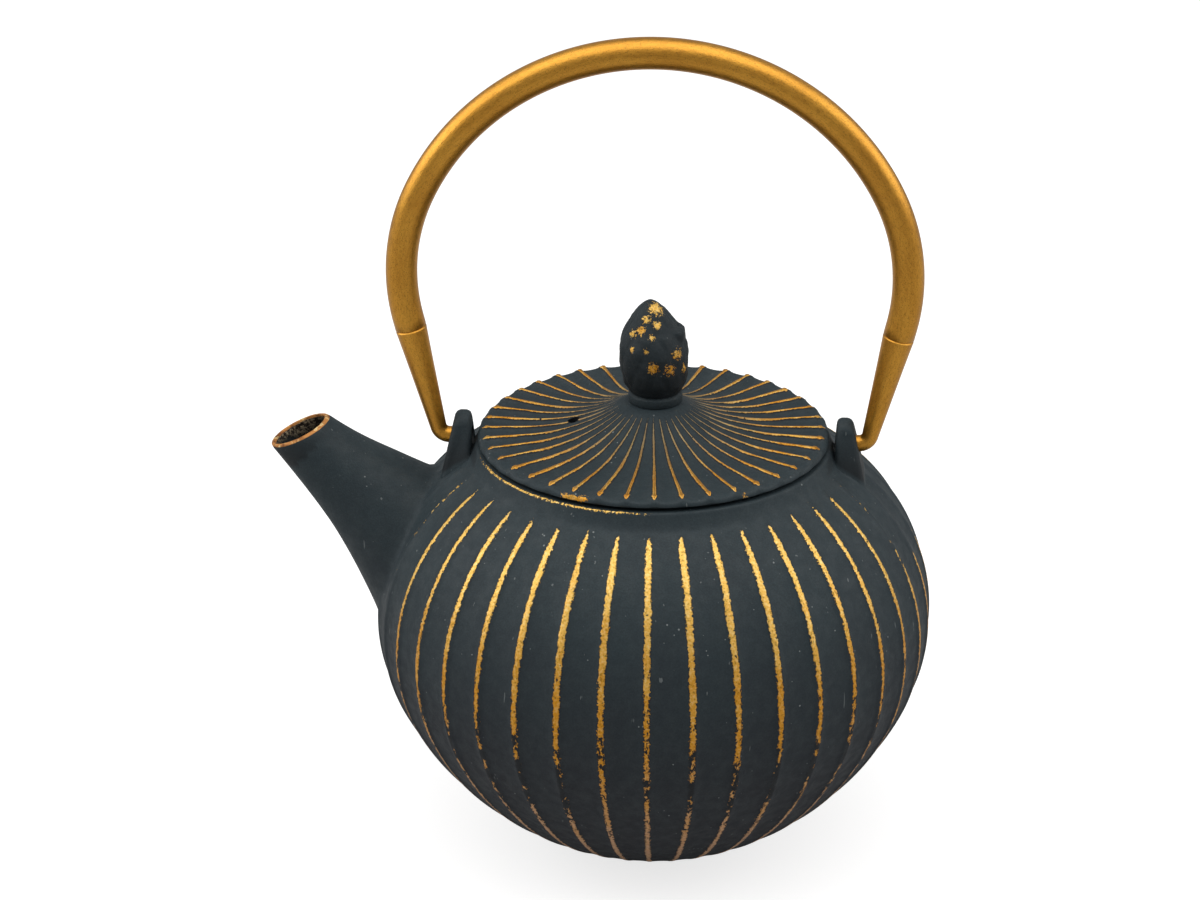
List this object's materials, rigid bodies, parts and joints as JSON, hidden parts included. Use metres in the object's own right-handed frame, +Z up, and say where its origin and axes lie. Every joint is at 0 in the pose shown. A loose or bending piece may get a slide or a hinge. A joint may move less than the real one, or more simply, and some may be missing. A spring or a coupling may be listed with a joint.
{
  "type": "teapot",
  "caption": "Fluted cast-iron teapot with a spout, ribbed lid, cone-shaped knob, swinging tube bail and hanging steel tea basket.",
  "frame": {"origin": "centre of the flat underside of the foot, on the body's axis", "axes": "+Z up along the body's axis; the spout points along -X; the bail swings about the X direction and its pins lie in the XZ plane; +Y is to the right of somebody who looks out along the spout"},
  "size_m": [0.178, 0.15, 0.226],
  "materials": {
    "iron": "dark grey cast iron with rubbed gold lines on the crests and ribs",
    "gold_paint": "satin gold lacquer with a fine brushed grain",
    "steel": "satin stainless steel"
  },
  "bodies": {
    "pot": {"pot_body": "iron"},
    "bail": {"bail_tube": "gold_paint", "bail_leg_left": "gold_paint", "bail_leg_right": "gold_paint"},
    "lid": {"lid": "iron", "knob": "iron", "knob_washer": "steel", "knob_nut": "steel"},
    "basket": {"basket_flange": "steel", "basket_wall": "steel", "basket_base": "steel"}
  },
  "joints": [
    {"name": "bail_swing", "type": "hinge", "parent": "pot", "child": "bail", "pos_m": [0, 0, 0.11534], "axis": [1, 0, 0], "range_deg": [-122, 122]},
    {"name": "lid_lift", "type": "slide", "parent": "pot", "child": "lid", "axis": [0, 0, 1], "range_m": [0, 0.06]},
    {"name": "basket_lift", "type": "slide", "parent": "pot", "child": "basket", "axis": [0, 0, 1], "range_m": [0, 0.03]}
  ],
  "couplings": [
    {"joint": "basket_lift", "follows": "lid_lift", "ratio": 0.5}
  ]
}
